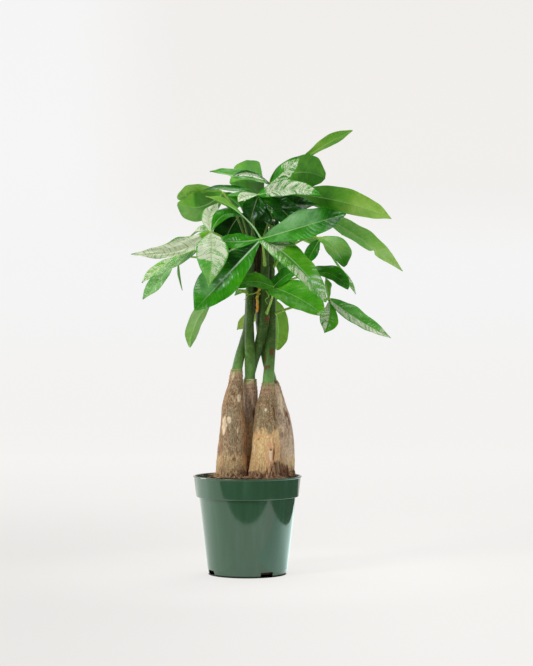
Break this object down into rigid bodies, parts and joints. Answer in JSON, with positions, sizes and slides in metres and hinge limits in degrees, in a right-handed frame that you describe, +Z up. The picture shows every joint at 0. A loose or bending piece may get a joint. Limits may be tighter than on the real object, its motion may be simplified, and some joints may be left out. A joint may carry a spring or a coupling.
{
  "type": "potted money tree",
  "caption": "Indoor money tree: swollen bark bases, slim green stems crossing as a loose braid, a crown of palmate leaves, standing in soil in a round plastic pot.",
  "frame": {"origin": "middle of the pot's underside, on the surface it stands on", "axes": "+Z up along the trunks; -Y is the front that the picture shows, +X to its right"},
  "size_m": [0.3726, 0.306, 0.6227],
  "materials": {
    "pot": "glossy moulded green plastic",
    "soil": "loose dark peat and bark fibre",
    "trunk": "rough grey-brown bark below, smooth green stem above",
    "dry_stalk": "dry, yellow-orange",
    "leaf": "waxy green leaf, paler underneath"
  },
  "bodies": {
    "root": {"dry_stalk": "dry_stalk", "leaf_back_left": "leaf", "leaf_back_low": "leaf", "leaf_back_right": "leaf", "leaf_crown": "leaf", "leaf_far_left": "leaf", "leaf_front": "leaf", "leaf_front_low": "leaf", "leaf_inner": "leaf", "leaf_inner_right": "leaf", "leaf_left": "leaf", "leaf_left_low": "leaf", "leaf_lower_right": "leaf", "leaf_mid_back": "leaf", "leaf_middle_right": "leaf", "leaf_right": "leaf", "leaf_right_low": "leaf", "leaf_top": "leaf", "leaf_upper_left": "leaf", "pot": "pot", "soil": "soil", "trunk_far_right": "trunk", "trunk_hidden": "trunk", "trunk_left": "trunk", "trunk_middle": "trunk", "trunk_right": "trunk"}
  },
  "joints": []
}
